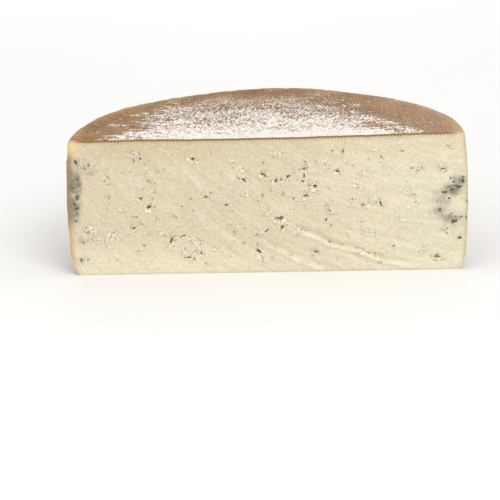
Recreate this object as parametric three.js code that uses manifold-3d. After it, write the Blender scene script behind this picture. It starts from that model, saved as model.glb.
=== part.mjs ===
// Half of a pressed cheese wheel with a natural rind, cut straight through its middle.
// It lies on its flat base with the cut face to the front, along -Y. Units are millimetres, +Z is up,
// and the origin is the middle of the underside of the half's bounding box.

import * as THREE from 'three';
import { mergeVertices } from 'three/addons/utils/BufferGeometryUtils.js';
import Module from 'manifold-3d';

// Driving dimensions of the whole wheel
const DIAMETER = 300; // across the fullest part of the side
const HEIGHT = 106.8; // from the base to the rim, on the middle line of the cut
const THICKENING = 1; // how much the right end is thicker, and the left end thinner, than the middle
const DISH = 1.2; // how far the top sinks from the rim to the centre
const FULLEST_HEIGHT = 56; // level of the fullest part of the side

// Rounded edges, as the inset from the fullest part of the side and the height of each curve
const FOOT_INSET = 7;
const FOOT_HEIGHT = 12;
const FOOT_LEAN = 0.6; // how far the side has drawn in where it meets the foot's curve
const SHOULDER_INSET = 5;
const SHOULDER_HEIGHT = 6;
const SHOULDER_LEAN = 1.8; // how far the side has drawn in where it meets the shoulder's curve

// Fineness of the facets
const STEPS_AROUND = 112; // a multiple of four, so the half's box ends on real points
const STEPS_PER_CURVE = 5;

const RADIUS = DIAMETER / 2;

const wasm = await Module();
wasm.setup();

// The wheel's profile from the middle of the base, out and up the side, and in to the middle of the top
function wheelProfile() {
  const foot = RADIUS - FOOT_LEAN;
  const shoulder = RADIUS - SHOULDER_LEAN;
  const shoulderLevel = HEIGHT - SHOULDER_HEIGHT;
  const rim = RADIUS - SHOULDER_INSET;

  const profile = new THREE.Path();
  profile.moveTo(0, 0);
  profile.lineTo(RADIUS - FOOT_INSET, 0);
  profile.quadraticCurveTo(foot, 0, foot, FOOT_HEIGHT);
  profile.quadraticCurveTo(RADIUS, (FOOT_HEIGHT + FULLEST_HEIGHT) / 2, RADIUS, FULLEST_HEIGHT);
  profile.quadraticCurveTo(RADIUS, (shoulderLevel + FULLEST_HEIGHT) / 2, shoulder, shoulderLevel);
  profile.quadraticCurveTo(shoulder, HEIGHT, rim, HEIGHT);
  profile.quadraticCurveTo(rim / 2, HEIGHT - DISH, 0, HEIGHT - DISH);
  return profile.getPoints(STEPS_PER_CURVE);
}

// A closed solid for cutting, from a three.js geometry
function solidFrom(geometry) {
  const bare = geometry.clone();
  bare.deleteAttribute('normal');
  bare.deleteAttribute('uv');
  const merged = mergeVertices(bare);
  const corners = merged.index.array;

  // a face that touches the axis has two of its corners in one place, and is left out
  const triangles = [];
  for (let i = 0; i < corners.length; i += 3) {
    const [a, b, c] = corners.slice(i, i + 3);
    if (a !== b && b !== c && c !== a) triangles.push(a, b, c);
  }
  return new wasm.Manifold(new wasm.Mesh({
    numProp: 3,
    vertProperties: new Float32Array(merged.attributes.position.array),
    triVerts: new Uint32Array(triangles),
  }));
}

// A three.js geometry from a cut solid
function geometryFrom(solid) {
  const mesh = solid.getMesh();
  const geometry = new THREE.BufferGeometry();
  geometry.setAttribute('position', new THREE.BufferAttribute(mesh.vertProperties, 3));
  geometry.setIndex(new THREE.BufferAttribute(mesh.triVerts, 1));
  geometry.computeVertexNormals();
  return geometry;
}

// The whole wheel, standing on z = 0 around the z axis
function wholeWheel() {
  return new THREE.LatheGeometry(wheelProfile(), STEPS_AROUND).rotateX(Math.PI / 2);
}

// A block that takes away everything in front of the wheel's middle plane
function frontBlock() {
  return new THREE.BoxGeometry(2 * DIAMETER, DIAMETER, 3 * HEIGHT).translate(0, -DIAMETER / 2, 0);
}

// The press closed a little unevenly, so the wheel is thicker towards +X. The base stays flat.
function thicken(geometry) {
  const points = geometry.attributes.position;
  const slope = THICKENING / (HEIGHT * RADIUS);
  for (let i = 0; i < points.count; i += 1) {
    points.setZ(i, points.getZ(i) * (1 + slope * points.getX(i)));
  }
  geometry.computeVertexNormals();
  return geometry;
}

const half = geometryFrom(solidFrom(wholeWheel()).subtract(solidFrom(frontBlock())));
const paste = new THREE.MeshStandardMaterial({ color: 0xe3d5b8, roughness: 0.65, metalness: 0 });
const halfWheel = new THREE.Mesh(thicken(half), paste);
halfWheel.name = 'half_wheel';
halfWheel.position.set(0, -RADIUS / 2, 0);

const group = new THREE.Group();
group.add(halfWheel);

export default group;
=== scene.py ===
# %% [markdown]
# # Half of a cheese wheel
#
# The real thing is a pressed cheese, 300 mm across, ripened for months under a natural rind and then
# cut straight through its middle. One half lies on its flat base with the cut face to the front. It is
# one body: the rind is only the outermost millimetres of the same cheese, dried and browned, and it
# keeps the marks of the cloth that it was pressed in.
#
# The packed model fixes the size and the place, so it is loaded first and never changed. The finished
# half is a new mesh that stands where the plain solid stood.

# %% Load the frame
from itertools import product
from math import cos, pi, radians, sin

import bmesh
import bpy
import numpy as np
from mathutils import Matrix, Vector
from mathutils.kdtree import KDTree


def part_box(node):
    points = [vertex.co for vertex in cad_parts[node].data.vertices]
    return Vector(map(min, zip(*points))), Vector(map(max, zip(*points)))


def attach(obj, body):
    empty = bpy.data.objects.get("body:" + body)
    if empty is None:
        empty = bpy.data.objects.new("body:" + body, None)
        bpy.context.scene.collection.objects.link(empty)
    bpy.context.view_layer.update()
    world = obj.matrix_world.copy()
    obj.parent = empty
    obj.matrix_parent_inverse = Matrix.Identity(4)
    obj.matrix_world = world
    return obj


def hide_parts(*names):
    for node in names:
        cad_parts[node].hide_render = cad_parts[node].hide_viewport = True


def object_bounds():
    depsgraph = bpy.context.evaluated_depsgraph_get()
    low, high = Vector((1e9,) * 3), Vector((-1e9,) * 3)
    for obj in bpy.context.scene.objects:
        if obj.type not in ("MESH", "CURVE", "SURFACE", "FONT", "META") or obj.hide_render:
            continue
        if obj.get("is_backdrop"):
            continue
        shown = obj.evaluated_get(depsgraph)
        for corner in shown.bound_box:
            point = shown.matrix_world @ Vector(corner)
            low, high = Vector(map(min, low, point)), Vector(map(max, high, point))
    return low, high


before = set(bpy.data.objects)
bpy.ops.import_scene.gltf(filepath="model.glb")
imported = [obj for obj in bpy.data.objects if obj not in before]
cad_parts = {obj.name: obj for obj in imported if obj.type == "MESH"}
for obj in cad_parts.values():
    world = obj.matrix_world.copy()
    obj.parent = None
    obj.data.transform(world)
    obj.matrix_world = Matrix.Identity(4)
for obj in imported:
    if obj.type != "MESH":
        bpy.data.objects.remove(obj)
cad_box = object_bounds()

# %% [markdown]
# ## What the plain half gives
#
# All the shaping below is in millimetres, and turned into metres only when the mesh is made. The
# wheel's own axis stands on the cut plane at x = 0, so places are told as x, how far back they are from
# the cut, and z. The press closed a little unevenly: the right end is a millimetre thicker than the
# middle and the left end a millimetre thinner.

# %% Measure the plain half
MM = 0.001
low, high = (np.array(corner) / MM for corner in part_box("half_wheel"))
RADIUS = (high[0] - low[0]) / 2
CUT_Y = low[1]
RIM_INSET = 5.0  # how far the rim of the top lies inside the fullest part of the side
THICKENING = 1.0  # how much thicker the right end is than the middle
HEIGHT = high[2] - THICKENING * (RADIUS - RIM_INSET) / RADIUS
print(f"radius {RADIUS:.1f} mm, height {HEIGHT:.1f} mm, cut plane at y = {CUT_Y:.1f} mm")

# %% [markdown]
# ## Unevenness
#
# Nothing on a cheese is quite flat. In the mesh that comes from gradient noise: random slopes on a
# lattice of points, blended smoothly between them. A few lines of numpy do hundreds of thousands of
# points at once, and a seed for each use keeps every run the same.

# %% Lattice noise
LATTICE = 64


def lumps(places, size, seed):
    """Smooth bumps between about -1 and 1 at places (mm), each bump about `size` mm across."""
    slopes = np.random.default_rng(seed).normal(size=(LATTICE, LATTICE, LATTICE, 3))
    cell = places / size
    whole = np.floor(cell).astype(int)
    part = cell - whole
    ease = part**3 * (part * (part * 6 - 15) + 10)
    total = np.zeros(places.shape[:-1])
    for corner in product((0, 1), repeat=3):
        corner = np.array(corner)
        weight = np.prod(np.where(corner == 1, ease, 1 - ease), axis=-1)
        i, j, k = np.moveaxis((whole + corner) % LATTICE, -1, 0)
        total += weight * np.sum(slopes[i, j, k] * (part - corner), axis=-1)
    return total


def smooth(value, start, end):
    """0 before start, 1 after end, and an even S between them. It runs backwards where end < start."""
    share = np.clip((value - start) / (end - start), 0, 1)
    return share * share * (3 - 2 * share)


sample = lumps(np.random.default_rng(0).uniform(-100, 100, (20000, 3)), 7.0, 1)
print(f"noise spread {sample.std():.2f}, largest {np.abs(sample).max():.2f}")

# %% [markdown]
# ## The profile of the side
#
# A wheel like this isn't a plain cylinder. The foot is rounded where the curd met the bottom of the
# mould, the side swells by a millimetre or two, and the shoulder is a small even curve. At both ends of
# the cut the lower corner is knocked off in a slanting bevel, which reaches higher on the left.
#
# Each stretch is one quadratic curve from a start to an end, pulled towards a corner point. The points
# may differ with the angle around the wheel, so one function gives the whole side.

# %% Side profile
FOOT_ROWS, BELLY_ROWS, CHEST_ROWS, SHOULDER_ROWS = 20, 74, 48, 16
ROWS = FOOT_ROWS + BELLY_ROWS + CHEST_ROWS + SHOULDER_ROWS
FULLEST = 56.0  # level of the fullest part of the side
FOOT_INSET, FOOT_LEAN, FOOT_HEIGHT = 7.0, 0.6, 12.0
SHOULDER_LEAN, SHOULDER_HEIGHT = 1.8, 6.0
BEVEL_RISE = 5.0  # how much higher the foot reaches at the left end


def stretch(start, corner, end, rows):
    """Points of a quadratic curve for every angle. The last one is left to the next stretch."""
    share = np.linspace(0, 1, rows, endpoint=False)[:, None, None]
    return (1 - share) ** 2 * start + 2 * share * (1 - share) * corner + share**2 * end


def side_profile(angle):
    """Radius and height, in mm, of each row of the side at each angle, from the base up to the rim."""
    leftmost = np.exp(-(((angle - pi) / 0.38) ** 2))
    rightmost = np.exp(-((angle / 0.5) ** 2))

    def at(radius, height):
        return np.stack(np.broadcast_arrays(radius + 0 * angle, height + 0 * angle), axis=-1)

    base = at(RADIUS - FOOT_INSET + 1.5 * rightmost, 0)
    foot = at(RADIUS - FOOT_LEAN - 0.3 * rightmost, FOOT_HEIGHT + BEVEL_RISE * leftmost)
    square = at(foot[:, 0], 0)
    slant = (0.2 + 0.45 * (leftmost + rightmost))[:, None]  # 0 for a full round foot, 1 for a flat bevel
    foot_corner = square + slant * ((base + foot) / 2 - square)
    belly = at(RADIUS, FULLEST)
    shoulder = at(RADIUS - SHOULDER_LEAN, HEIGHT - SHOULDER_HEIGHT)
    rim = at(RADIUS - RIM_INSET, HEIGHT)
    return np.concatenate([
        stretch(base, foot_corner, foot, FOOT_ROWS),
        stretch(foot, at(RADIUS, (foot[:, 1] + FULLEST) / 2), belly, BELLY_ROWS),
        stretch(belly, at(RADIUS, (HEIGHT - SHOULDER_HEIGHT + FULLEST) / 2), shoulder, CHEST_ROWS),
        stretch(shoulder, at(shoulder[:, 0], HEIGHT), rim, SHOULDER_ROWS),
        rim[None],
    ])


print("profile at the right end:", side_profile(np.zeros(1))[[0, FOOT_ROWS, -1], 0].round(1).tolist())

# %% [markdown]
# ## One closed sheet of small cells
#
# The cloth marks repeat every 2.3 mm and have to be real relief, so the mesh needs cells of 0.5 to 0.7
# mm. Spokes would crowd them at the centre, so a flat grid is pressed onto the half disc, which keeps
# them nearly even and gives the cut edge a straight row of points. The top, the base and the cut face
# are such grids, and the side is a ribbon around them. They share the points on their borders, so the
# skin is closed without any welding.

# %% Lay out the grids
COLUMNS = 560  # along the cut
DEEP = 228  # from the cut to the back
RING = COLUMNS + 2 * DEEP  # cells around the side, from the left end of the cut to the right end

across = np.linspace(-1, 1, COLUMNS + 1)[None, :]
back = np.linspace(0, 1, DEEP + 1)[:, None]
disc = np.stack([across * np.sqrt(1 - back**2 / 2), back * np.sqrt(1 - across**2 / 2)], axis=-1)
disc_reach = np.hypot(disc[..., 0], disc[..., 1])
disc_angle = np.arctan2(disc[..., 1], disc[..., 0])

up_left = [(row, 0) for row in range(DEEP + 1)]
along_back = [(DEEP, column) for column in range(1, COLUMNS)]
down_right = [(row, COLUMNS) for row in range(DEEP, -1, -1)]
ring = tuple(np.array(up_left + along_back + down_right).T)
ring_angle = disc_angle[ring]
print(f"{RING} cells around, {COLUMNS} along the cut, {ROWS} up the side")

# %% [markdown]
# ## The cloth
#
# The curd is pressed in a plain-woven cheesecloth. Its threads print a fine net into the young rind:
# rows of little ridges that lean to the right as they run back over the top, crossed by fainter ones.
# On the side the cloth stood upright. Each point of the rind is told where it lies on the cloth, in
# millimetres across and along the threads, and how clearly the cloth printed there. The mesh and the
# colour both use this, so the painted shade in the colour's furrows and the painted highlight on its
# ridges lie on the furrows and ridges of the relief.

# %% Cloth marks
PITCH = 2.3  # mm from thread to thread
LEAN = radians(70)  # of the threads on the top, from the line of the cut


def cloth_on_top(place):
    """How far across and along the threads each point of the top lies, and how clear the marks are."""
    x, y = place[..., 0], place[..., 1]
    wander = 1.1 * lumps(place, 30, 11)
    over = x * sin(LEAN) - y * cos(LEAN) + wander
    along = x * cos(LEAN) + y * sin(LEAN) + wander
    clear = smooth(np.hypot(x, y), RADIUS - 5, RADIUS - 14) * (0.75 + 0.5 * lumps(place, 24, 12))
    return np.stack([over, along, np.clip(clear, 0, 1)], axis=-1)


def cloth_on_side(place, angle):
    """The same for the side, where the threads run around and upright."""
    height = place[..., 2]
    wander = 1.0 * lumps(place, 24, 13)
    ends = smooth(height, 6, 16) * smooth(height, HEIGHT - 3, HEIGHT - 14)
    clear = ends * (0.55 + 0.6 * lumps(place, 20, 14))
    return np.stack([angle * RADIUS + wander, height + wander, np.clip(clear, 0, 1)], axis=-1)


def weave(cloth):
    """Height of the cloth's print, from -0.5 to 0.5, before it is scaled."""
    ridge = 0.5 + 0.5 * np.cos(2 * pi * cloth[..., 0] / PITCH)
    cross = 0.5 + 0.5 * np.cos(2 * pi * cloth[..., 1] / PITCH)
    return (ridge * (0.35 + 0.65 * cross) - 0.34) * cloth[..., 2]


print(f"about {2 * RADIUS / PITCH:.0f} threads across the wheel")

# %% [markdown]
# ## The rind
#
# Under the fine net the rind waves by half a millimetre or so. The top sinks a little towards its
# middle, and its rim sags in two places. On the side the cloth was gathered, and left creases that run
# down from the shoulder, and the lid of the mould left a faint step all round. Two small nicks break
# the right end.

# %% Shape the side
DISH = 1.2  # how far the top sinks to its middle
WEAVE_HEIGHT = 0.5
CREASES = 26
LID_EDGE = 17.0  # how far below the rim the lid of the mould left its step


def thicken(place):
    """Thickens the wheel towards its right end and lets its rim sag in two places."""
    x, deep = place[..., 0], place[..., 1]
    angle, reach = np.arctan2(deep, x), np.hypot(x, deep) / RADIUS
    sag = -0.5 * np.exp(-(((angle - 1.5) / 0.25) ** 2))
    for middle, depth in ((0.8, 1.6), (2.0, 1.4)):
        sag = sag + depth * np.exp(-(((angle - middle) / 0.36) ** 2))
    place[..., 2] *= 1 + THICKENING / (HEIGHT * RADIUS) * x - sag * reach**4 / HEIGHT
    return place


def uneven(place):
    """The waves of a bare rind, in mm: broad ones, lumps and a fine roughness."""
    return 0.45 * lumps(place, 38, 22) + 0.26 * lumps(place, 9, 23) + 0.12 * lumps(place, 2.4, 24)


def creases(angle, height, count, seed):
    """Furrows that gathered cloth left on the side, from 0 to 1."""
    draw = np.random.default_rng(seed)
    depth = np.zeros(np.broadcast(angle, height).shape)
    for _ in range(count):
        middle, drift, wave = draw.uniform(0.1, pi - 0.1), draw.normal(0, 0.05), draw.uniform(0, 2 * pi)
        bottom, width = draw.uniform(8, 70), draw.uniform(0.9, 2.2)
        path = middle + drift * (height / HEIGHT - 0.5) + 0.012 * np.sin(height / 13 + wave)
        reach = smooth(height, bottom, bottom + 22) * smooth(height, HEIGHT - 1, HEIGHT - 9)
        furrow = np.exp(-((((angle - path) * RADIUS) / width) ** 2)) * reach * draw.uniform(0.4, 1)
        depth = np.maximum(depth, furrow)
    return depth


rows = side_profile(ring_angle)
rise = np.gradient(rows, axis=0)
outward = np.stack([rise[..., 1], -rise[..., 0]], axis=-1)
outward /= np.linalg.norm(outward, axis=-1, keepdims=True)
around = np.stack([np.cos(ring_angle), np.sin(ring_angle)], axis=-1)


def spun(radius_and_height):
    """Places on the wheel from a radius and a height at each angle of the ring."""
    return np.concatenate([radius_and_height[..., :1] * around, radius_and_height[..., 1:]], axis=-1)


bare_side = spun(rows)
side_cloth = cloth_on_side(bare_side, ring_angle[None])
side_furrows = creases(ring_angle[None], rows[..., 1], CREASES, 21)
lid_step = 0.35 * smooth(rows[..., 1], HEIGHT - LID_EDGE, HEIGHT - LID_EDGE + 2.5)
nicks = sum(np.exp(-(((rows[..., 1] - level) / 1.1) ** 2)) for level in (54, 41))
nicks = nicks * np.exp(-((ring_angle[None] * RADIUS / 4) ** 2))
firm = smooth(rows[..., 1], 0.5, 9)  # the foot is pressed smooth and the base flat
side_relief = firm * (
    uneven(bare_side) + 0.7 * WEAVE_HEIGHT * weave(side_cloth) - 0.9 * side_furrows - lid_step - nicks
)
side = thicken(spun(rows + outward * side_relief[..., None]))
print(f"side relief from {side_relief.min():.2f} to {side_relief.max():.2f} mm")

# %% Shape the top and the base
rim_radius = RADIUS - RIM_INSET
top = np.concatenate([disc * rim_radius, np.zeros(disc.shape[:2] + (1,))], axis=-1)
top[..., 2] = HEIGHT - DISH * (1 - disc_reach**2)
top_cloth = cloth_on_top(top)
top_relief = uneven(top) + WEAVE_HEIGHT * weave(top_cloth)
top[..., 2] += top_relief
top = thicken(top)
top[ring] = side[-1]

base_radius = np.interp(disc_angle, ring_angle[::-1], rows[0, ::-1, 0])
base = np.concatenate([disc * base_radius[..., None], np.zeros(disc.shape[:2] + (1,))], axis=-1)
base[ring] = side[0]
print(f"top relief from {top_relief.min():.2f} to {top_relief.max():.2f} mm")
print(f"highest point of the base {base[..., 2].max():.3f} mm")

# %% [markdown]
# ## The cut face
#
# A long knife went through from above. It dragged on the paste and left it faintly combed, from the
# upper left down to the lower right, with a few soft ridges that sweep down along the blade's path.
# Between them the paste is crumbly: it tore in grains of one to four millimetres instead of slicing
# clean.
#
# The sweep is a curve that falls steeply on the left and flattens out to the right. Noise read along
# and across that curve, instead of along x and z, gives the combing its direction.

# %% Knife sweep
SWEEP_DROP = 242.0  # how far the sweep falls from the left end of the cut to where it flattens
SWEEP_LENGTH = 118.0


def swept(x, z):
    """Distance along the blade's sweep, and which of its tracks the point is on, both in mm."""
    fall = SWEEP_DROP * np.exp(-(x + RADIUS) / SWEEP_LENGTH)
    return x + 0.35 * (HEIGHT - z), z - fall


TEARS = [  # a track, the stretch of x that the ridge runs over, its height and its width, all in mm
    (-24, 8, 120, 1.00, 1.9), (-18, 62, 130, 0.40, 1.6), (-31, 40, 104, 0.50, 1.8),
    (-39, 4, 78, 0.45, 2.2), (-47, -22, 62, 0.65, 2.0), (-11, 34, 134, 0.35, 2.6),
    (-34, -76, 14, 0.35, 4.0), (-60, -96, 10, 0.30, 4.5), (-8, -70, 20, 0.25, 4.0),
]
print(len(TEARS), "tears")


def wander(flat):
    """How far a tear strays from its track, in mm."""
    return 1.8 * lumps(flat, 18, 36) + 0.7 * lumps(flat, 5, 38)


def tears(flat, track):
    """Ridges where the paste tore along the blade: a crest with a groove above it, in mm."""
    x, track = flat[..., 0], track + wander(flat)
    height = np.zeros(np.shape(x))
    for middle, start, end, rise, wide in TEARS:
        crest = np.exp(-(((track - middle) / wide) ** 2))
        groove = np.exp(-(((track - middle - 2 * wide) / (1.2 * wide)) ** 2))
        length = smooth(x, start, start + 25) * smooth(x, end, end - 25)
        height = height + rise * length * (crest - 0.5 * groove)
    return height * np.clip(1 + 1.1 * lumps(flat, 8, 37), 0.2, 1.9)


def cut_relief(x, z):
    """How far the paste stands out of the cut plane, in mm, at places on the face."""
    flat = np.stack([x, np.zeros_like(x), z], axis=-1)
    run, track = swept(x, z)
    combed = np.stack([run / 9, track, np.zeros_like(x)], axis=-1)
    ridges = 0.42 * lumps(combed, 7.5, 31) + 0.16 * lumps(combed, 2.4, 32)
    heavy = smooth(x + 1.2 * (HEIGHT - z), -40, 110)  # the ridges are plainest low on the right
    grains = 0.34 * lumps(flat, 4.2, 33) + 0.24 * lumps(flat, 1.9, 34)
    return 0.35 * lumps(flat, 46, 35) + (0.45 + 0.9 * heavy) * ridges + grains + tears(flat, track)


# %% Shape the cut face
level = np.linspace(0, 1, ROWS + 1)[:, None]
face = np.zeros((ROWS + 1, COLUMNS + 1, 3))
edge_share = np.abs(across) ** 14
half_width = RADIUS - 2.5
side_ends = bare_side[:, [0, -1]]
end_reach = np.where(across < 0, -side_ends[:, :1, 0], side_ends[:, 1:, 0])
end_height = np.where(across < 0, side_ends[:, :1, 2], side_ends[:, 1:, 2])
face[..., 0] = across * ((1 - edge_share) * half_width + edge_share * end_reach)
face_top = HEIGHT - DISH * (1 - np.minimum(np.abs(across), 1) ** 2)
face[..., 2] = (1 - edge_share) * level * face_top + edge_share * end_height
face = thicken(face)

for border, target, near in (
    (np.s_[-1:, :], top[:1], level**30),
    (np.s_[:1, :], base[:1], (1 - level) ** 30),
    (np.s_[:, :1], side[:, :1], ((1 - across) / 2) ** 60),
    (np.s_[:, -1:], side[:, -1:], ((1 + across) / 2) ** 60),
):
    face += near[..., None] * (target - face[border])

outline = np.concatenate([face[0], face[:, -1], face[-1, ::-1], face[::-1, 0]])
skin = KDTree(len(outline))
for number, place in enumerate(outline):
    skin.insert(place, number)
skin.balance()
depth = np.array([skin.find(place)[2] for place in face.reshape(-1, 3)]).reshape(face.shape[:2])
face[..., 1] = -cut_relief(face[..., 0], face[..., 2]) * smooth(depth, 0, 2.5)
print(f"cut face {np.ptp(face[..., 0]):.1f} by {np.ptp(face[..., 2]):.1f} mm")
print(f"its middle lies {depth.max():.1f} mm under the rind")

# %% [markdown]
# ## Joining the sheets
#
# Every point gets one number. Where two sheets meet, the second takes over the first one's numbers, and
# each cell is then four numbers. The base is flat, so it needs no small cells: its inner points are
# dropped, and each face there is a large square that picks up the small points on its border.
#
# Each sheet is also unrolled, at its real size, onto one flat map, so that a baked picture of the
# colours is about equally sharp all over. The base rests out of sight and takes less room.

# %% Number the points
STEP = 4  # small cells in one large square of the base

sheets = {"side": side, "top": top, "base": base, "cut": face}
numbers, points = {}, 0
for name, sheet in sheets.items():
    numbers[name] = points + np.arange(sheet[..., 0].size).reshape(sheet.shape[:2])
    points += numbers[name].size

numbers["top"][ring] = numbers["side"][-1]
numbers["base"][ring] = numbers["side"][0]
numbers["cut"][:, 0] = numbers["side"][:, 0]
numbers["cut"][:, -1] = numbers["side"][:, -1]
numbers["cut"][0] = numbers["base"][0]
numbers["cut"][-1] = numbers["top"][0]
places = np.concatenate([sheet.reshape(-1, 3) for sheet in sheets.values()])
print(f"{points} points before the base is thinned")

# %% Unroll the sheets
GAP = 3.0  # mm left free between the sheets
run_round = np.concatenate([[0], np.cumsum(np.abs(np.diff(ring_angle)))]) * RADIUS
run_up = np.concatenate([[0], np.cumsum(np.linalg.norm(np.diff(rows[:, RING // 2], axis=0), axis=-1))])
BASE_SCALE = 0.5
from_left = np.array([RADIUS, 0.0])  # makes x count from the left end of the cut
cut_row = run_up[-1] + 2 * GAP
top_row = cut_row + high[2] + GAP
flat = {
    "side": np.stack(np.broadcast_arrays(run_round[None], run_up[:, None]), -1) + (GAP, GAP),
    "cut": face[..., [0, 2]] + from_left + (GAP, cut_row),
    "top": disc * rim_radius + from_left + (GAP, top_row),
}
small_base = (disc * base_radius[..., None] + from_left) * BASE_SCALE
flat["base"] = small_base + (2 * RADIUS + 2 * GAP, cut_row)
map_size = np.array([run_round[-1] + 2 * GAP, top_row + rim_radius + GAP])
print("map of", map_size.round(), "mm, squeezed onto a square")


def cells(grid):
    """The four corners of each cell of a grid, going round the cell."""
    corners = [grid[:-1, :-1], grid[:-1, 1:], grid[1:, 1:], grid[1:, :-1]]
    return np.stack(corners, axis=2).reshape(-1, 4, *grid.shape[2:])


def border_walk(row, column):
    """The points round one large square of the base, with small ones only where it meets the border."""
    corners = [(row, column), (row, column + STEP), (row + STEP, column + STEP), (row + STEP, column)]
    walk = []
    for start, end in zip(corners, corners[1:] + corners[:1]):
        along_row = start[0] == end[0] and start[0] in (0, DEEP)
        along_column = start[1] == end[1] and start[1] in (0, COLUMNS)
        stops = STEP if along_row or along_column else 1
        for stop in range(stops):
            walk.append(tuple(round(a + stop / stops * (b - a)) for a, b in zip(start, end)))
    return walk


# %% Make the faces
faces, corner_places, finish_numbers = [], [], []
for name, finish_number, turned in (("cut", 0, False), ("top", 1, False), ("side", 1, True)):
    sheet_faces, sheet_places = cells(numbers[name]), cells(flat[name])
    if turned:
        sheet_faces, sheet_places = sheet_faces[:, ::-1], sheet_places[:, ::-1]
    faces += sheet_faces.tolist()
    corner_places.append(sheet_places.reshape(-1, 2))
    finish_numbers += [finish_number] * len(sheet_faces)

for row, column in product(range(0, DEEP, STEP), range(0, COLUMNS, STEP)):
    walk = border_walk(row, column)[::-1]
    faces.append([int(numbers["base"][spot]) for spot in walk])
    corner_places.append(np.array([flat["base"][spot] for spot in walk]))
    finish_numbers.append(1)

used, faces_flat = np.unique(np.concatenate(faces), return_inverse=True)
starts = np.cumsum([0] + [len(corners) for corners in faces])
faces = [faces_flat[a:b].tolist() for a, b in zip(starts[:-1], starts[1:])]
print(f"{len(used)} points and {len(faces)} faces")

# %% [markdown]
# ## One mesh, in metres
#
# The mesh is written in the frame's own metres. Each point of the rind also carries where it lies on
# the cloth. That is stored as an attribute, which the rind's material reads by its name.

# %% Make the half
def to_metres(place):
    """From millimetres around the wheel's axis to metres in the frame."""
    return (place + np.array([0, CUT_Y, 0])) * MM


def new_piece(name, place, corners):
    """An object with a mesh of the given places, in mm around the wheel's axis, and faces."""
    mesh = bpy.data.meshes.new(name)
    mesh.from_pydata(to_metres(place).tolist(), [], corners)
    mesh.polygons.foreach_set("use_smooth", [True] * len(corners))
    piece = bpy.data.objects.new(name, mesh)
    bpy.context.scene.collection.objects.link(piece)
    return piece


def give_map(mesh, corner_place):
    """Adds the texture map from a place in mm on the flat layout for each face corner."""
    layer = mesh.uv_layers.new(name="OFBake")
    layer.data.foreach_set("uv", (corner_place / map_size).astype(np.float32).ravel())


def give_fact(mesh, name, values):
    """Stores a number, or three, for each point under a name that materials can read."""
    kind, field = ("FLOAT", "value") if values.ndim == 1 else ("FLOAT_VECTOR", "vector")
    fact = mesh.attributes.new(name, kind, "POINT")
    fact.data.foreach_set(field, values.astype(np.float32).ravel())


no_cloth = {"base": np.zeros(base.shape), "cut": np.zeros(face.shape)}
cloth = {"side": side_cloth, "top": top_cloth, **no_cloth}
half = new_piece("cheese_half", places[used], faces)
give_map(half.data, np.concatenate(corner_places))
give_fact(half.data, "cloth", np.concatenate([cloth[name].reshape(-1, 3) for name in sheets])[used])
half.data.polygons.foreach_set("material_index", finish_numbers)
half.data.validate()
print("half made:", len(half.data.vertices), "points")

# %% [markdown]
# ## Eyes
#
# The curd was pressed only lightly, so small openings stayed between its grains, and the knife went
# through some of them: uneven pits of two to six millimetres, many of them in clusters, and far more of
# about one. A spot of dark colour would look flat as soon as the light moved, so each eye is a real
# hollow. It begins as a lumpy ball whose middle lies on the cut, and one boolean takes them all away.
#
# The plainest eyes are listed one by one. The rest are drawn at random, and nearly half of those keep
# close to another eye, because the openings follow loose places in the curd.

# %% Place the eyes
PLAIN_EYES = [  # x and z of the middle, width and height, all in mm, and the lean in degrees
    (9, 43, 5.5, 3, 10), (11, 36, 3, 3, 30), (29, 60, 3, 2.5, 0), (36, 67, 3, 2.5, 10),
    (28, 75, 1.5, 3, 0), (27, 71, 2.5, 2, 0), (32, 68, 2, 1.5, 40), (28, 81, 3, 2, 30),
    (16, 75, 4, 2, 40), (7, 72, 3.5, 2.5, 45), (-2, 77, 3.5, 3, 0), (-17, 73, 3, 2.5, -40),
    (-55, 90, 3.5, 2.5, 10), (-89, 53, 4, 3, 0), (-95, 60, 3, 2, 0), (-46, 60, 2.5, 2, 20),
    (-42, 64, 1.5, 2, 0), (-30, 54, 3, 1.5, 0), (-101, 37, 4, 1.5, 15), (-73, 27, 2, 6, -25),
    (-63, 30, 4.5, 2, 20), (-60, 13, 4, 1.5, 5), (-7, 17, 2.5, 6.5, 45), (-8, 30, 2, 1.5, 60),
    (-1, 33, 3, 1.5, 30), (44, 41, 2.5, 2, 0), (47, 48, 2, 2, 0), (53, 79, 4, 2, 0),
    (57, 94, 1.2, 4, -15), (72, 52, 4, 1.5, 0), (85, 53, 1.5, 3.5, 20), (131, 79, 3, 2, 10),
    (127, 11, 4, 2.5, 5), (144, 25, 3.5, 2, 25), (36, 16, 3.5, 2, 0), (116, 80, 3.5, 1, -40),
]
SMALL_EYES = 250
EYE_CLEARANCE = 5.0  # mm from the rind in which the curd is closed
draw = np.random.default_rng(41)


def under_rind(x, z):
    """How far a place on the cut is from the rind, in mm."""
    return skin.find((x, 0.0, z))[2]


def crowded(x, z, size, eyes):
    """Whether an eye of this size would run into one that is there."""
    return any(np.hypot(x - eye[0], z - eye[1]) < 0.6 * (size + max(eye[2:4])) for eye in eyes)


eyes = list(PLAIN_EYES)
while len(eyes) < len(PLAIN_EYES) + SMALL_EYES:
    if draw.random() < 0.45:
        near = eyes[draw.integers(len(eyes))]
        x, z = near[0] + draw.normal(0, 5), near[1] + draw.normal(0, 4)
    else:
        x, z = draw.uniform(-RADIUS, RADIUS), draw.uniform(0, HEIGHT)
    width = np.clip(draw.lognormal(0.0, 0.4), 0.6, 1.8)
    inside = abs(x) < RADIUS and 0 < z < HEIGHT and under_rind(x, z) > EYE_CLEARANCE
    if inside and not crowded(x, z, width, eyes):
        eyes.append((x, z, width, width * draw.uniform(0.55, 1.1), draw.uniform(-40, 60)))
print(f"{len(eyes)} eyes, {sum(max(eye[2:4]) > 2 for eye in eyes)} of them over 2 mm")


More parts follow.
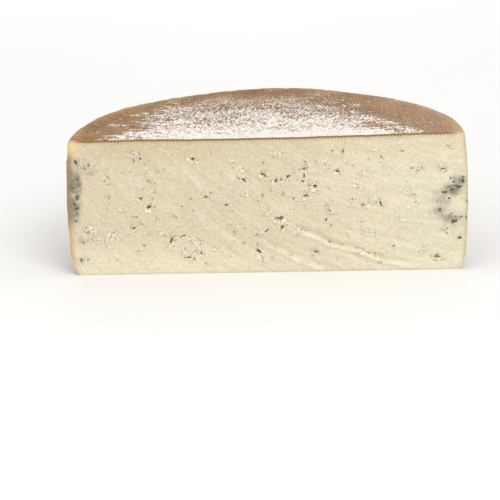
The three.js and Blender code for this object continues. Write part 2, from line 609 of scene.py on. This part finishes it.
# %% Cut the eyes
def unit_ball(subdivisions):
    """Points and triangles of a ball of radius 1."""
    form = bmesh.new()
    bmesh.ops.create_icosphere(form, subdivisions=subdivisions, radius=1)
    corners = np.array([[point.index for point in triangle.verts] for triangle in form.faces])
    ball = np.array([point.co for point in form.verts])
    form.free()
    return ball, corners


def hollow(eye, number):
    """Points and triangles, in mm around the wheel's axis, of the lumpy ball that one eye is cut with."""
    x, z, width, height, lean = eye
    ball, corners = unit_ball(3 if width > 1.2 else 2)
    own = ball + 3.7 * number
    swell = 1 + 1.0 * lumps(own, 1.0, 42) + 0.55 * lumps(own, 0.5, 43)
    ball = ball * np.clip(swell, 0.3, 1.8)[:, None]
    deep = 0.5 * (width + height) / 2 * draw.uniform(0.9, 1.5)
    ball *= [width / 2, deep, height / 2]
    turned = ball @ np.array(Matrix.Rotation(radians(lean), 3, "Y"))
    surface = -float(cut_relief(np.array(x), np.array(z)))
    return turned + [x, surface, z], corners


ball_places, ball_faces, count = [], [], 0
for number, eye in enumerate(eyes):
    ball, corners = hollow(eye, number)
    ball_places.append(ball)
    ball_faces.append(corners + count)
    count += len(ball)
ball_places, ball_faces = np.concatenate(ball_places), np.concatenate(ball_faces)

balls = new_piece("eye_balls", ball_places, ball_faces.tolist())
ball_map = ball_places[:, [0, 2]] + from_left + (GAP, cut_row)
give_map(balls.data, ball_map[ball_faces.ravel()])

cutter = half.modifiers.new("eyes", "BOOLEAN")
cutter.operation = "DIFFERENCE"
cutter.solver = "MANIFOLD"
cutter.object = balls
pitted = bpy.data.meshes.new_from_object(half.evaluated_get(bpy.context.evaluated_depsgraph_get()))
half.modifiers.clear()
half.data = pitted
bpy.data.objects.remove(balls)
half.data.set_sharp_from_angle(angle=radians(52))
print("with eyes:", len(half.data.vertices), "points,", len(half.data.polygons), "faces")

# %% [markdown]
# ## What the paste's colour depends on
#
# Some things can't be told from a place alone, so they are worked out here and stored on the points.
# One is how far a point lies under the rind, because the paste turns brown towards its skin. One is how
# deep it lies in an eye, which sets the painted shade there. Around the eyes and in loose places the
# paste broke into pale crumbs; below the eyes they are partly a painted highlight where light catches the
# lower lips, and painted shadows lie between them. Along the tears the crests get a painted highlight and
# the grooves above them painted shadow.
#
# The last is blue mould. Some air got in through cracks in the rind near both ends of the cut, and
# grey-blue threads grew inwards along them, with nearly black spots where they fruit.
#
# The boolean left its own new points along the lips of the eyes without any attribute. So these facts
# are worked out after it, from where every point is now.

# %% Blue mould
CLOUDS = [  # x, z, half width and half height in mm, lean in degrees, and strength
    (-143, 72, 5, 14, 0, 0.9), (-144, 52, 4.5, 11, 0, 0.85), (-142, 87, 3.5, 5, 10, 0.6),
    (-133, 82, 9, 4, 15, 0.4), (-140, 27, 4, 4, 0, 0.5), (-141, 12, 3.5, 4, 0, 0.5),
    (143, 69, 6, 7, 0, 0.75), (138, 63, 9, 5, -10, 0.95), (130, 56, 9, 10, -30, 0.5),
    (129, 46, 8, 5, 20, 0.6), (137, 40, 11, 6, 10, 0.7), (134, 34, 12, 7, 0, 0.3),
    (120, 56, 7, 5, 0, 0.25), (-144, 62, 4, 7, 0, 0.7),
]
SPOTS = [  # the same for the plainest of the dark spots
    (-142, 89, 1, 2, -30, 1), (-142, 62, 2, 1, -10, 0.8), (-145, 57, 1, 2.5, -30, 0.8),
    (-143, 53, 2, 1, -20, 1), (-143, 49, 1, 1, 0, 1), (-144, 43, 1.5, 1, 0, 0.8),
    (-139, 26, 1.5, 1, -30, 0.8), (-141, 12, 2, 1.5, 0, 0.6), (137, 72, 1, 1, -20, 1),
    (146, 70, 1, 2.5, 0, 1), (144, 65, 2.5, 1, -15, 0.9), (138, 63, 2, 1, -20, 0.9),
    (133, 61, 2, 1, 0, 0.8), (136, 56, 1, 1, 0, 0.9), (129, 47, 1.5, 1, 20, 0.8),
    (140, 38, 3, 1.2, -20, 1), (145, 42, 1, 1, 0, 0.8), (149, 54, 1, 2, 10, 0.6),
    (149, 41, 1, 2, 0, 0.7), (-136, 84, 3.5, 0.8, 25, 0.6), (-131, 80, 3, 0.7, 20, 0.5),
    (-133, 86, 1, 1, 0, 0.7), (-128, 86, 1, 0.8, 0, 0.6), (-126, 82, 1, 0.8, 0, 0.5),
    (139, 69, 1, 1, 0, 0.8), (146, 73, 2, 0.7, 0, 0.8), (139, 66, 1.5, 0.8, 0, 0.7),
    (142, 59, 1, 1, 0, 0.8), (136, 43, 1, 1, 0, 0.6), (141, 42, 1, 1, 0, 0.7),
]
SPECKS_PER_AREA = 0.2  # small dark specks for each square millimetre of half width times half height
draw = np.random.default_rng(57)
for middle_x, middle_z, half_wide, half_high, _, strength in CLOUDS:
    for _ in range(round(SPECKS_PER_AREA * strength**2 * half_wide * half_high)):
        spot_x, spot_z = draw.normal(middle_x, 0.55 * half_wide), draw.normal(middle_z, 0.55 * half_high)
        SPOTS.append((spot_x, spot_z, *draw.uniform(0.5, 1.1, 2), 0, draw.uniform(0.4, 1)))
print(len(SPOTS), "dark spots")


LOOSE = 40
loose = [(draw.uniform(-125, 120), draw.uniform(8, 96), draw.uniform(2.5, 7)) for _ in range(LOOSE)]
loose += [(-133, 36, 7), (-118, 31, 8), (-128, 28, 6)]  # a pale crumbly patch low on the left


def crumbs_and_lit_lips(x, z):
    """How crumbly a place on the cut is, from 0 to 1, which also sets painted highlights and shadows:
    around the eyes, most below them where light catches their lower lips, and in loose places.
    """
    most = np.zeros_like(x)
    for middle_x, middle_z, width, height, lean in eyes:
        right, up = x - middle_x, z - middle_z
        reach = np.hypot(right / (0.5 * width + 0.3), up / (0.5 * height + 0.3))
        # Stronger below an eye, where light from above catches its lower lip: partly a painted highlight.
        below = 0.5 + 0.5 * smooth(-up / (np.hypot(right, up) + 0.01), -0.5, 0.6)
        most = np.maximum(most, min(1.0, width / 2.2) * below * np.exp(-(((reach - 1.5) / 0.85) ** 2)))
    for middle_x, middle_z, wide in loose:
        far = np.hypot((x - middle_x) / wide, (z - middle_z) / (0.6 * wide))
        most = np.maximum(most, 0.75 * np.exp(-(far**2)))
    return most


def grown(x, z, patches, sharpness):
    """How strongly a place on the cut is covered by a list of patches, from 0 to 1."""
    cover = np.zeros_like(x)
    for middle_x, middle_z, half_wide, half_high, lean, strength in patches:
        turn = radians(lean)
        right, up = x - middle_x, z - middle_z
        wide = (right * cos(turn) - up * sin(turn)) / half_wide
        tall = (right * sin(turn) + up * cos(turn)) / half_high
        cover = np.maximum(cover, strength * np.exp(-((wide**2 + tall**2) ** sharpness)))
    return cover


# %% Give the facts of the paste
here = np.zeros(3 * len(half.data.vertices), dtype=np.float32)
half.data.vertices.foreach_get("co", here)
here = here.reshape(-1, 3) / MM - [0, CUT_Y, 0]
x, z = here[:, 0], here[:, 2]
near_cut = np.flatnonzero(here[:, 1] < 6)

rind_depth = np.zeros(len(here))
for point in near_cut:
    rind_depth[point] = under_rind(x[point], z[point])
# How deep a point lies in an eye; the paste's colour turns it into painted shade.
eye_shade_depth = np.clip(here[:, 1] + cut_relief(x, z) * smooth(rind_depth, 0, 2.5), 0, 6) * (rind_depth > 3)

flat_place = np.stack([x, np.zeros_like(x), z], axis=-1)
wavy_x, wavy_z = x + 1.6 * lumps(flat_place, 6, 51), z + 1.6 * lumps(flat_place, 6, 52)
mould = grown(wavy_x, wavy_z, CLOUDS, 1.0) * (1 + 0.35 * lumps(flat_place, 3.2, 53))
ragged_x, ragged_z = x + 0.9 * lumps(flat_place, 1.9, 54), z + 0.9 * lumps(flat_place, 1.9, 55)
spots = grown(ragged_x, ragged_z, SPOTS, 1.2) * (1 + 0.5 * lumps(flat_place, 1.5, 56))
mould, spots = np.clip(mould, 0, 1), np.clip(spots, 0, 1)

crumbly_and_lit_lips, tear_shading_height = np.zeros(len(here)), np.zeros(len(here))
stray = 2.6 * lumps(flat_place, 3.4, 58)
crumbly_and_lit_lips[near_cut] = crumbs_and_lit_lips((wavy_x + stray)[near_cut], (wavy_z - stray)[near_cut])
crumbly_and_lit_lips *= 1 - 0.8 * mould
# The tears' height, which sets their painted highlight and shadow.
tear_shading_height[near_cut] = tears(flat_place[near_cut], swept(x, z)[1][near_cut])

facts = dict(rind_depth=rind_depth, eye_shade_depth=eye_shade_depth, crumbly_and_lit_lips=crumbly_and_lit_lips, tear_shading_height=tear_shading_height, mould=mould, spots=spots)
for name, values in facts.items():
    give_fact(half.data, name, values)
print(f"{len(near_cut)} points near the cut, deepest in an eye {eye_shade_depth.max():.1f} mm")

# %% [markdown]
# ## Shader sums in Python
#
# A material is a net of nodes. Its sums read better as Python, so a Value stands for one socket and
# knows what + - * and / mean: each adds the Math node that does it. A Finish holds one material. Its
# method node adds any other node, and the short ways below it all use that.

# %% Values
class Value:
    """One socket in a material. Python's operators on it add Math nodes."""

    def __init__(self, finish, socket):
        self.finish = finish
        self.socket = socket

    def maths(self, operation, first, second=0.0):
        return self.finish.node("ShaderNodeMath", {"operation": operation}, {0: first, 1: second})

    def __add__(self, other):
        return self.maths("ADD", self, other)

    def __radd__(self, other):
        return self.maths("ADD", other, self)

    def __sub__(self, other):
        return self.maths("SUBTRACT", self, other)

    def __rsub__(self, other):
        return self.maths("SUBTRACT", other, self)

    def __mul__(self, other):
        return self.maths("MULTIPLY", self, other)

    def __rmul__(self, other):
        return self.maths("MULTIPLY", other, self)

    def __truediv__(self, other):
        return self.maths("DIVIDE", self, other)

    def __rtruediv__(self, other):
        return self.maths("DIVIDE", other, self)

    def cosine(self):
        return self.maths("COSINE", self)

    def exponential(self):
        return self.maths("EXPONENT", self)

    def root(self):
        return self.maths("SQRT", self)

    def between(self, start, end):
        """0 before start, 1 after end and an even S between them, clamped. It runs backwards too."""
        settings = {"interpolation_type": "SMOOTHSTEP"}
        low, high, first, last = (start, end, 0.0, 1.0) if start < end else (end, start, 1.0, 0.0)
        levels = {"Value": self, "From Min": low, "From Max": high, "To Min": first, "To Max": last}
        return self.finish.node("ShaderNodeMapRange", settings, levels)


print("besides + - * and / a Value knows", [way for way in vars(Value) if not way.startswith("_")])


# %% Finishes
class Finish:
    """The nodes of one material, or of the sky, and short ways to add to them."""

    def __init__(self, name, owners=bpy.data.materials, shader="Principled BSDF"):
        self.material = owners.new(name)
        self.material.use_nodes = True
        self.tree = self.material.node_tree
        self.shader = self.tree.nodes[shader]

    def feed(self, socket, value):
        """Links a Value to a socket, or sets the socket to a plain number or colour."""
        if isinstance(value, Value):
            self.tree.links.new(value.socket, socket)
        else:
            socket.default_value = value

    def node(self, kind, settings=None, inputs=None, output=0):
        """Adds any node: its settings first, then what its sockets get. Gives back one of its outputs."""
        node = self.tree.nodes.new(kind)
        for name, setting in (settings or {}).items():
            setattr(node, name, setting)
        for name, value in (inputs or {}).items():
            self.feed(node.inputs[name], value)
        return Value(self, node.outputs[output])

    def mix(self, share, first, second):
        """The first colour where share is 0 and the second where it is 1."""
        inputs = {0: share, 6: first, 7: second}
        return self.node("ShaderNodeMix", {"data_type": "RGBA"}, inputs, output=2)

    def layers(self, colour, *coats):
        """A colour with coats laid over it in turn, each a share and a code or another colour."""
        for share, coat in coats:
            colour = self.mix(share, colour, paint(coat) if isinstance(coat, str) else coat)
        return colour

    def shade(self, colour, amount):
        """A colour made lighter or darker by a factor."""
        return self.node("ShaderNodeVectorMath", {"operation": "SCALE"}, {0: colour, "Scale": amount})

    def place(self):
        """Where the surface is, in mm in the frame."""
        return self.shade(self.node("ShaderNodeTexCoord", output="Object"), 1 / MM)

    def fact(self, name, output="Fac"):
        """An attribute of the mesh: Fac for a number, Vector for three."""
        return self.node("ShaderNodeAttribute", {"attribute_name": name}, output=output)

    def parts(self, vector):
        """The three numbers in a vector."""
        separate = self.tree.nodes.new("ShaderNodeSeparateXYZ")
        self.feed(separate.inputs[0], vector)
        return [Value(self, output) for output in separate.outputs]

    def joined(self, x, y, z):
        """A vector from three numbers."""
        return self.node("ShaderNodeCombineXYZ", {}, {0: x, 1: y, 2: z})

    def noise(self, place, size, detail=2.0):
        """Soft noise around 0.5 with lumps of a size in mm."""
        inputs = {"Vector": place, "Scale": 1 / size, "Detail": detail, "Roughness": 0.55}
        return self.node("ShaderNodeTexNoise", {}, inputs)

    def dress(self, colour, roughness, height, depth, **constants):
        """Feeds the shader: colour, roughness, bumps of a depth in mm, and constants for the rest."""
        self.feed(self.shader.inputs["Base Color"], colour)
        self.feed(self.shader.inputs["Roughness"], roughness)
        bumps = {"Height": height, "Distance": depth * MM, "Strength": 1.0}
        self.feed(self.shader.inputs["Normal"], self.node("ShaderNodeBump", {}, bumps))
        for name, value in constants.items():
            self.feed(self.shader.inputs[name.replace("_", " ")], value)
        return self.material


print("a Finish knows", [way for way in vars(Finish) if not way.startswith("_")])


# %% Paint
def paint(code):
    """A colour for a socket from its six-figure code."""
    parts = [int(code[start:start + 2], 16) / 255 for start in (0, 2, 4)]
    return (*[((part + 0.055) / 1.055) ** 2.4 if part > 0.04045 else part / 12.92 for part in parts], 1.0)


print("middle grey as a socket takes it:", [round(part, 3) for part in paint("808080")])

# %% [markdown]
# ## The paste
#
# Ripe paste isn't one colour. It is a little pinker and darker on the left, and paler and yellower to the
# right. In the last few millimetres it turns golden and then brown, because water leaves through the
# rind. Over that lie the knife's faint streaks, a speckle of pale grains, the mould and painted shade in
# the eyes. A trace of subsurface scattering softens the grains without filling the eyes with light.
#
# Each of these is a coat, a share and a colour, so the order in which they lie is plain to read.

# %% Plain paste
LEFT_PASTE, MIDDLE_PASTE, RIGHT_PASTE = "E1D1B5", "DED0B4", "E6DDC2"


def plain_paste(paste, place):
    """The colour of plain paste, and how high its streaks and grains stand."""
    x, y, z = paste.parts(place)
    fall = SWEEP_DROP * ((x + RADIUS) / -SWEEP_LENGTH).exponential()
    run, track = x + 0.35 * (HEIGHT - z), z - fall
    streaks = paste.noise(paste.joined(run / 7, track, y), 3.0)
    blotches = paste.noise(paste.joined(run / 3, track, y), 9.0, 2.0)
    crumb = paste.noise(paste.joined(run / 2, track, y), 1.0, 2.0)
    grains = paste.noise(place, 2.2, 3.0)
    pale = paste.noise(place, 1.9, 1.0).between(0.58, 0.72)
    flecks = paste.noise(place, 1.2, 1.0).between(0.38, 0.27)

    towards_right = (x + 50 * paste.noise(place, 34)).between(0, 150)
    low_left = z.between(36, 4) * (1 - 0.65 * x.between(-60, 40))
    # Darker and browner towards the top of the face, most on the left.
    browner_near_top = z.between(78, 104) * (0.3 + 0.5 * x.between(-136, -118) * x.between(-20, -70))
    colour = paste.layers(
        paste.mix(x.between(-150, -20), paint(LEFT_PASTE), paint(MIDDLE_PASTE)),
        (towards_right, RIGHT_PASTE),
        (0.75 * low_left, "F1EACE"),
        (browner_near_top, "D5C29C"),
    )
    colour = paste.shade(colour, 0.47 + 0.20 * streaks + 0.24 * grains + 0.38 * crumb + 0.22 * blotches)
    colour = paste.layers(colour, (0.50 * pale, "FBF5E4"), (0.30 * flecks, "9C8B62"))
    return colour, grains + 0.6 * streaks + 0.5 * pale + 0.7 * crumb


print("the paste from left to right:", LEFT_PASTE, MIDDLE_PASTE, RIGHT_PASTE)


# %% Coats near the rind
def near_rind(paste, place, rind_depth):
    """Coats that turn the paste golden and brown. The cloth's print gives the line of the skin teeth."""
    x, _, z = paste.parts(place)
    depth = rind_depth + 3.0 * (paste.noise(place, 6) - 0.5)
    leftmost, rightmost = x.between(-136, -145), x.between(134, 145)
    above_base = z.between(5, 20) * (1 - 0.65 * rightmost)
    khaki = x.between(-138, -146) * z.between(32, 46) * z.between(102, 90)
    corner = z.between(88, 103) * (x.between(-134, -146) + 0.5 * x.between(138, 149))
    teeth = 0.5 + 0.5 * (x * (2 * pi * sin(LEAN) / PITCH)).cosine()
    skin_line = (rind_depth - 0.7 * teeth).between(1.6, 0.7) * (0.15 + 0.85 * z.between(2, 12))
    return [
        (0.65 * depth.between(5.0, 1.0) * above_base, "CFAE74"),
        (0.40 * depth.between(4.5, 1.5) * leftmost, "DDBE88"),
        (0.35 * depth.between(4.0, 1.0) * rightmost, "D9C892"),
        (0.70 * depth.between(6.0, 2.0) * khaki, "8A7A55"),
        (0.75 * corner, "F7DCA0"),
        (0.9 * skin_line * (1 - 0.75 * (leftmost + rightmost)), "7A6238"),
    ]


def blue_mould(paste, place, rind_depth, mould, spots):
    """Coats of grey mould, browner close to the rind, then its threads and its dark spots."""
    cloud = (mould * (0.45 + 1.1 * paste.noise(place, 3.2, 4.0))).between(0.05, 0.95)
    smoke = paste.mix(rind_depth.between(5.0, 2.0), paint("837D6A"), paint("726748"))
    threads = cloud * paste.noise(place, 1.7, 2.0).between(0.54, 0.66)
    return [(0.85 * cloud, smoke), (0.45 * threads, "55574D"), (0.90 * spots.between(0.2, 0.7), "3F413A")]


print(f"the line of the skin has {sin(LEAN) / PITCH:.2f} teeth to a millimetre")


# %% Paste finish
def paste_finish():
    paste = Finish("cheese_paste")
    place = paste.place()
    rind_depth, eye_shade_depth, crumbly_and_lit_lips, tear_shading_height, mould, spots = (paste.fact(name) for name in facts)
    plain, height = plain_paste(paste, place)

    # Pale crumbs, partly a painted highlight on the lit lower lips of the eyes, with painted shadows
    # between the crumbs.
    broken = crumbly_and_lit_lips + 2.4 * (paste.noise(place, 1.5, 1.0) - 0.5)
    pale_crumbs_and_highlights = broken.between(0.35, 0.75) * crumbly_and_lit_lips.between(0.05, 0.4)
    shadows = crumbly_and_lit_lips.between(0.1, 0.6) * paste.noise(place, 1.2, 1.0).between(0.44, 0.34)
    colour = paste.layers(
        plain,
        # painted highlight on the crests of the tears, and painted shadow in the grooves above them
        (0.55 * tear_shading_height.between(0.08, 0.90), "FBF4E0"),
        (0.30 * tear_shading_height.between(-0.03, -0.50), "BCA983"),
        *near_rind(paste, place, rind_depth),
        *blue_mould(paste, place, rind_depth, mould, spots),
        # pale crumbs with painted highlights, then painted shadows between them
        (0.80 * pale_crumbs_and_highlights, "FCF5DA"),
        (0.80 * shadows, "8A7A50"),
        # painted shade inside the eyes, darker the deeper they go
        (0.80 * eye_shade_depth.between(0.12, 0.8), "A08A54"),
    )
    roughness = 0.46 + 0.18 * paste.noise(place, 3.5)
    return paste.dress(
        colour, roughness, height + 0.8 * pale_crumbs_and_highlights, 0.5,
        Subsurface_Weight=0.12, Subsurface_Radius=(1.0, 0.6, 0.3), Subsurface_Scale=2 * MM,
    )


paste_material = paste_finish()
print(paste_material.name, "has", len(paste_material.node_tree.nodes), "nodes")

# %% [markdown]
# ## The rind finish
#
# The rind is brown, with painted shade in the furrows between the threads' marks and a painted highlight
# on their tops, both fainter towards the back.
# Pale bloom grew from the middle of the top and lies on the ridges in streaky white patches; near the cut
# the same white is also a painted reflection of the light on the ridges. The outer rim is rubbed bare
# each time the wheel is turned. The side is darker than the top, with grey patches of dry mould, and the
# rind shows golden in the thin line where the knife parted it.

# %% Bare rind
TOP_STARTS, TOP_WHOLE = HEIGHT - 9, HEIGHT - 3


def bare_rind(rind, place, on_top, patches):
    """Brown rind without its net or bloom: darker on the side, and on top paler towards the right."""
    x, _, _ = rind.parts(place)
    right, left = x.between(50, 130), x.between(-60, -130)
    brown_top = rind.mix(patches.between(0.3, 0.7), paint("936C44"), paint("AE875C"))
    brown_top = rind.layers(brown_top, (0.7 * right, "C5A283"), (0.45 * left, "A8814F"))
    brown_side = rind.mix(patches.between(0.3, 0.7), paint("6A482C"), paint("8E6841"))
    brown_side = rind.layers(brown_side, (0.6 * rind.noise(place, 8, 4.0).between(0.48, 0.70), "AA855C"))
    return rind.mix(on_top, brown_side, brown_top)


print(f"the side's brown gives way to the top's from {TOP_STARTS:.0f} to {TOP_WHOLE:.0f} mm up")


# %% Bloom and painted reflection
# the bloom and the painted reflection both thin out over this depth
BLOOM_AND_REFLECTION_DEPTH = 115  # mm over which the bloom thins out towards the back


def bloom_and_reflection_cover(rind, place, on_top, texture):
    """How much white covers each place, from 0 to 1, as mould dust and, near the cut, painted reflection:
    how far back it reaches, and what breaks it up.
    """
    x, y, z = rind.parts(place)
    back = y - CUT_Y
    stray = 75 * (rind.noise(place, 38, 3.0) - 0.5)
    wisps = rind.noise(rind.joined(x / 3, y, z), 5.0, 3.0) - 0.5
    reach = x + stray * back.between(0, 25) + 110 * wisps
    extent = 1 + BLOOM_AND_REFLECTION_DEPTH * reach.between(-132, -70) * reach.between(124, 38)
    ends = reach.between(-138, -88) * reach.between(120, 90)
    thinning = (back + 0.6 * stray * back.between(20, 60)) / extent
    thick = on_top * thinning.between(1.4, -0.5) * ends
    # thickest just behind the middle of the cut: caked bloom that is also the brightest painted
    # reflection
    caked_and_reflecting = back.between(26, 2) * x.between(-80, -30) * x.between(90, 60)
    body = (1.12 + 0.18 * reach.between(-90, -30)) * thick + 0.3 * caked_and_reflecting
    bloom_and_reflection = (body + texture * (1 - 0.35 * back.between(30, 110))).between(0.29, 0.55)
    bloom_and_reflection = bloom_and_reflection * thick.between(0.02, 0.2)
    flakes = rind.noise(place, 3.4, 1.0).between(0.72, 0.78) * on_top
    return bloom_and_reflection + 0.8 * flakes * (1 - bloom_and_reflection)


print(f"the bloom thins out over {BLOOM_AND_REFLECTION_DEPTH} mm")


# %% Rind finish
def rind_finish():
    rind = Finish("cheese_rind")
    place = rind.place()
    x, y, z = rind.parts(place)
    back, on_top = y - CUT_Y, z.between(TOP_STARTS, TOP_WHOLE)
    over, along, clear = rind.parts(rind.fact("cloth", "Vector"))
    patches = rind.noise(place, 22, 3.0)
    speckle = rind.noise(place, 2.0, 3.0)
    fibres = rind.noise(rind.joined(over, along / 4, z), 1.3, 2.0)

    # the net: its two families of ridges take turns in being the plainer one
    ridge = 0.5 + 0.5 * (over * (2 * pi / PITCH)).cosine()
    cross = 0.5 + 0.5 * (along * (2 * pi / PITCH)).cosine()
    turn = x.between(-40, -100)
    net = (ridge * (0.35 + 0.65 * cross) * (1 - turn) + cross * (0.35 + 0.65 * ridge) * turn) * clear

    # painted shade in its furrows and a painted highlight on its tops, both fainter towards the back
    furrow_shade = (net + 1.2 * (speckle - 0.5)).between(0.38, 0.05)
    ridge_highlight = (net + (2.6 - on_top) * (speckle - 0.5)).between(0.35, 0.8)
    fainter_at_back = 1 - 0.45 * on_top * back.between(60, 125)
    # painted shade in the furrows and painted highlight on the ridge tops
    netted = rind.layers(
        bare_rind(rind, place, on_top, patches),
        (0.75 * clear * furrow_shade * fainter_at_back, "5E4127"),
        ((0.35 + 0.40 * on_top) * ridge_highlight * fainter_at_back, "D6B795"),
    )
    flecks = rind.noise(rind.joined(x, y * 0.5, z), 2.0, 2.0)
    streaks = (rind.noise(rind.joined(x / 1.6, y, z), 4.0, 3.0) - 0.5) * turn * on_top
    netted = rind.shade(netted, 0.60 + 0.80 * flecks + 1.3 * streaks)

    # over that the bare rim, dry mould on the side, bloom that is also a painted reflection near the cut,
    # and the thin golden line along the cut
    rim = (x * x + back * back).root().between(RADIUS - 16, RADIUS - 5) * on_top
    dry_mould = (rind.noise(place, 20, 5.0) + 0.45 * (speckle - 0.5)).between(0.52, 0.74) * (1 - on_top)
    texture = 2.6 * (speckle - 0.5) + 3.3 * (fibres - 0.5) + 1.2 * (net - 0.3)
    bloom_and_reflection = bloom_and_reflection_cover(rind, place, on_top, texture + 2.2 * streaks + (patches - 0.5))
    edge = back.between(2.0, 0.4) * (1 - bloom_and_reflection) * (0.4 + 0.6 * x.between(40, 100))
    colour = rind.layers(
        netted,
        (0.40 * rim * patches.between(0.35, 0.6), "C59C5C"),
        (0.55 * dry_mould, "B9AC98"),
        # white of the bloom and of a painted reflection of the light on the ridges
        (0.92 * bloom_and_reflection, "FDF7EE"),
        (0.75 * edge, "C79E5E"),
    )
    roughness = 0.62 - 0.12 * bloom_and_reflection + 0.25 * (speckle - 0.5)
    height = 1.0 * net + 0.8 * speckle + 0.5 * fibres
    return rind.dress(colour, roughness, height, 0.6, Specular_IOR_Level=0.25)


rind_material = rind_finish()
print(rind_material.name, "has", len(rind_material.node_tree.nodes), "nodes")

# %% Dress the half
# The boolean left empty material slots. Clearing them also forgets which face had which finish.
finish_of_face = np.zeros(len(half.data.polygons), dtype=np.int32)
half.data.polygons.foreach_get("material_index", finish_of_face)
half.data.materials.clear()
half.data.materials.append(paste_material)
half.data.materials.append(rind_material)
half.data.polygons.foreach_set("material_index", finish_of_face)
print(np.bincount(finish_of_face).tolist(), "faces of paste and of rind")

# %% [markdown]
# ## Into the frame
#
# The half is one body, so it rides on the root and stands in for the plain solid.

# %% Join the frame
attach(half, "root")
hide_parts("half_wheel")
print(half.name, "rides on the root and replaces half_wheel")

# %% [markdown]
# ## Floor and light
#
# The stage is a plain pale floor. Three large soft lights do the work: one high in front, a little to
# the right, for the cut face; a weaker one from the front left, so that the eyes aren't black; and one
# low behind, which skims over the top and catches the ridges of the rind. The sky is a plain white,
# brighter overhead than at the horizon. The colours are shown as they are, without a film look, so that
# pale paste stays pale.

# %% Floor
def floor_finish():
    floor = Finish("floor")
    colour = floor.mix(floor.noise(floor.place(), 400), paint("F6F5F3"), paint("F9F8F6"))
    floor.feed(floor.shader.inputs["Base Color"], colour)
    floor.feed(floor.shader.inputs["Roughness"], 0.9)
    floor.feed(floor.shader.inputs["Specular IOR Level"], 0.0)
    return floor.material


FLOOR_SIZE = 12.0
bpy.ops.mesh.primitive_plane_add(size=FLOOR_SIZE, location=(0, 0, 0))
floor = bpy.context.object
floor.name = "floor"
floor.data.materials.append(floor_finish())
floor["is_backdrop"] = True
print(f"floor {FLOOR_SIZE:.0f} m square")


# %% Lights
def soft_light(name, place, size, power, aim=(0, 0, 0.06)):
    """A square area light that looks at a point near the middle of the half."""
    light = bpy.data.lights.new(name, "AREA")
    light.size = size
    light.energy = power
    lamp = bpy.data.objects.new(name, light)
    lamp.location = place
    lamp.rotation_euler = (Vector(aim) - Vector(place)).to_track_quat("-Z", "Y").to_euler()
    bpy.context.scene.collection.objects.link(lamp)
    return lamp


soft_light("front_light", (0.7, -1.5, 1.6), 1.2, 17)
soft_light("fill_light", (-1.3, -1.3, 0.7), 1.2, 4)
soft_light("skimming_light", (-0.1, 1.6, 0.8), 1.4, 5)

SKY_LOW, SKY_HIGH = 0.42, 0.95  # strength at the horizon and overhead

sky = Finish("studio", bpy.data.worlds, "Background")
_, _, upwards = sky.parts(sky.node("ShaderNodeTexCoord", output="Generated"))
sky.feed(sky.shader.inputs["Color"], (1.0, 1.0, 1.0, 1.0))
sky.feed(sky.shader.inputs["Strength"], SKY_LOW + (SKY_HIGH - SKY_LOW) * upwards.between(0.0, 1.0))
bpy.context.scene.world = sky.material
bpy.context.scene.view_settings.view_transform = "Standard"

# %% [markdown]
# ## The camera
#
# It stands well back with a long lens, so the cut face keeps its shape, and looks down a little from
# the right of the middle. It is rolled by a degree and a half, as if held in the hand.

# %% Camera
CAMERA_RIGHT, CAMERA_BACK, CAMERA_UP = 25.9, 1600, 544.2  # mm from the middle of the cut's lower edge
TURN, TILT, ROLL = radians(1.42), radians(18.2), radians(-1.41)
FOCAL_LENGTH = 160.8

lens = bpy.data.cameras.new("camera")
lens.sensor_width = 36
lens.lens = FOCAL_LENGTH
lens.clip_end = 50
camera = bpy.data.objects.new("camera", lens)
camera_place = Vector((CAMERA_RIGHT, CUT_Y - CAMERA_BACK, CAMERA_UP)) * MM
aimed = Matrix.Rotation(TURN, 4, "Z") @ Matrix.Rotation(pi / 2 - TILT, 4, "X")
aimed = aimed @ Matrix.Rotation(ROLL, 4, "Z")
camera.matrix_world = Matrix.Translation(camera_place) @ aimed
bpy.context.scene.collection.objects.link(camera)
bpy.context.scene.camera = camera
print(f"camera {camera_place.length:.2f} m away, tilted down by 18 degrees")

# %% Print the boxes and finish
seen_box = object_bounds()
boxes = {"cad": cad_box, "visual": seen_box}
sizes = {name: [list(corner) for corner in box] for name, box in boxes.items()}
for name, corners in sizes.items():
    print(name, [[round(number / MM, 1) for number in corner] for corner in corners])
